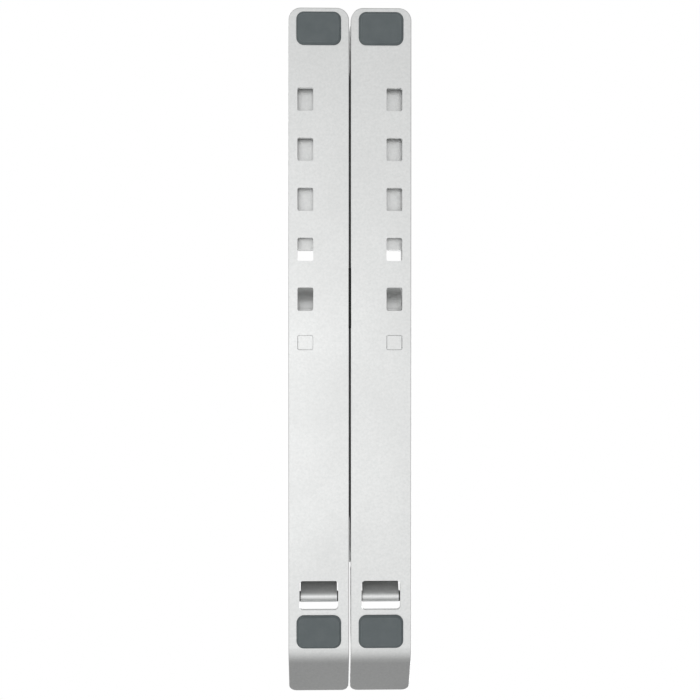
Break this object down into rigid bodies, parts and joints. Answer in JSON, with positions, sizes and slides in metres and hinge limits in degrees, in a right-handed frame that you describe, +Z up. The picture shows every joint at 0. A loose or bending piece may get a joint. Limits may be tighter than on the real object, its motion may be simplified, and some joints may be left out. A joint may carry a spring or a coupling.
{
  "type": "foldable laptop stand",
  "caption": "Folding aluminium laptop stand: two slotted base bars with turned-up lips, tilting upper arms on struts, and a scissor that spreads the two sides apart.",
  "frame": {"origin": "on the table under the middle of the folded stand", "axes": "+Z up from the table, +Y along the arms to the rear, -Y to the lips, +X to the right arm"},
  "size_m": [0.045, 0.2533, 0.0174],
  "materials": {
    "aluminium": "fine bead-blasted, satin",
    "grey_silicone": "matte silicone",
    "black_nylon": "matte nylon",
    "steel": "turned steel",
    "blackened_steel": "blackened steel"
  },
  "bodies": {
    "hub": {"centre_rivet": "blackened_steel", "centre_washer": "black_nylon", "link_washer": "black_nylon"},
    "link_lower": {"cross_link_lower": "blackened_steel", "slider_pin_right": "steel", "slider_roller_right": "black_nylon"},
    "link_upper": {"cross_link_upper": "blackened_steel", "slider_pin_left": "steel", "slider_roller_left": "black_nylon"},
    "base_left": {"base_arm_left": "aluminium", "stiffener_plate_left": "aluminium", "slide_guide_left": "aluminium", "lip_pad_left": "grey_silicone", "rear_foot_left": "grey_silicone", "front_foot_left": "grey_silicone", "front_hinge_pin_left": "steel", "hinge_spacers_left": "black_nylon", "pivot_stud_left": "steel", "pivot_washer_left": "black_nylon"},
    "arm_left": {"upper_arm_left": "aluminium", "rear_pad_left": "grey_silicone", "front_pad_left": "grey_silicone", "strut_pivot_pin_left": "steel", "strut_spacer_left": "black_nylon"},
    "strut_left": {"strut_left": "aluminium"},
    "base_right": {"base_arm_right": "aluminium", "stiffener_plate_right": "aluminium", "slide_guide_right": "aluminium", "lip_pad_right": "grey_silicone", "rear_foot_right": "grey_silicone", "front_foot_right": "grey_silicone", "front_hinge_pin_right": "steel", "hinge_spacers_right": "black_nylon", "pivot_stud_right": "steel", "pivot_washer_right": "black_nylon"},
    "arm_right": {"upper_arm_right": "aluminium", "rear_pad_right": "grey_silicone", "front_pad_right": "grey_silicone", "strut_pivot_pin_right": "steel", "strut_spacer_right": "black_nylon"},
    "strut_right": {"strut_right": "aluminium"}
  },
  "joints": [
    {"name": "scissor", "type": "hinge", "parent": "hub", "child": "link_lower", "pos_m": [0, 0.02065, 0.0065], "axis": [0, 0, -1], "range_deg": [0, 47.5]},
    {"name": "scissor_upper", "type": "hinge", "parent": "hub", "child": "link_upper", "pos_m": [0, 0.02065, 0.0065], "axis": [0, 0, 1], "range_deg": [0, 47.5]},
    {"name": "front_pivot_left", "type": "hinge", "parent": "link_lower", "child": "base_left", "pos_m": [-0.00525, -0.07195, 0.0054], "axis": [0, 0, 1], "range_deg": [0, 47.5]},
    {"name": "front_pivot_right", "type": "hinge", "parent": "link_upper", "child": "base_right", "pos_m": [0.00525, -0.07195, 0.0075], "axis": [0, 0, -1], "range_deg": [0, 47.5]},
    {"name": "tilt_left", "type": "hinge", "parent": "base_left", "child": "arm_left", "pos_m": [-0.0114, -0.0895, 0.0056], "axis": [1, 0, 0], "range_deg": [0, 52]},
    {"name": "strut_swing_left", "type": "hinge", "parent": "arm_left", "child": "strut_left", "pos_m": [-0.0146, 0.0164, 0.0124], "axis": [-1, 0, 0], "range_deg": [0, 111.02]},
    {"name": "tilt_right", "type": "hinge", "parent": "base_right", "child": "arm_right", "pos_m": [0.0114, -0.0895, 0.0056], "axis": [1, 0, 0], "range_deg": [0, 52]},
    {"name": "strut_swing_right", "type": "hinge", "parent": "arm_right", "child": "strut_right", "pos_m": [0.0146, 0.0164, 0.0124], "axis": [-1, 0, 0], "range_deg": [0, 111.02]}
  ],
  "couplings": [
    {"joint": "scissor_upper", "follows": "scissor", "ratio": 1},
    {"joint": "front_pivot_left", "follows": "scissor", "ratio": 1},
    {"joint": "front_pivot_right", "follows": "scissor", "ratio": 1},
    {"joint": "strut_swing_left", "follows": "tilt_left", "ratio": 2.135},
    {"joint": "strut_swing_right", "follows": "tilt_right", "ratio": 2.135}
  ]
}
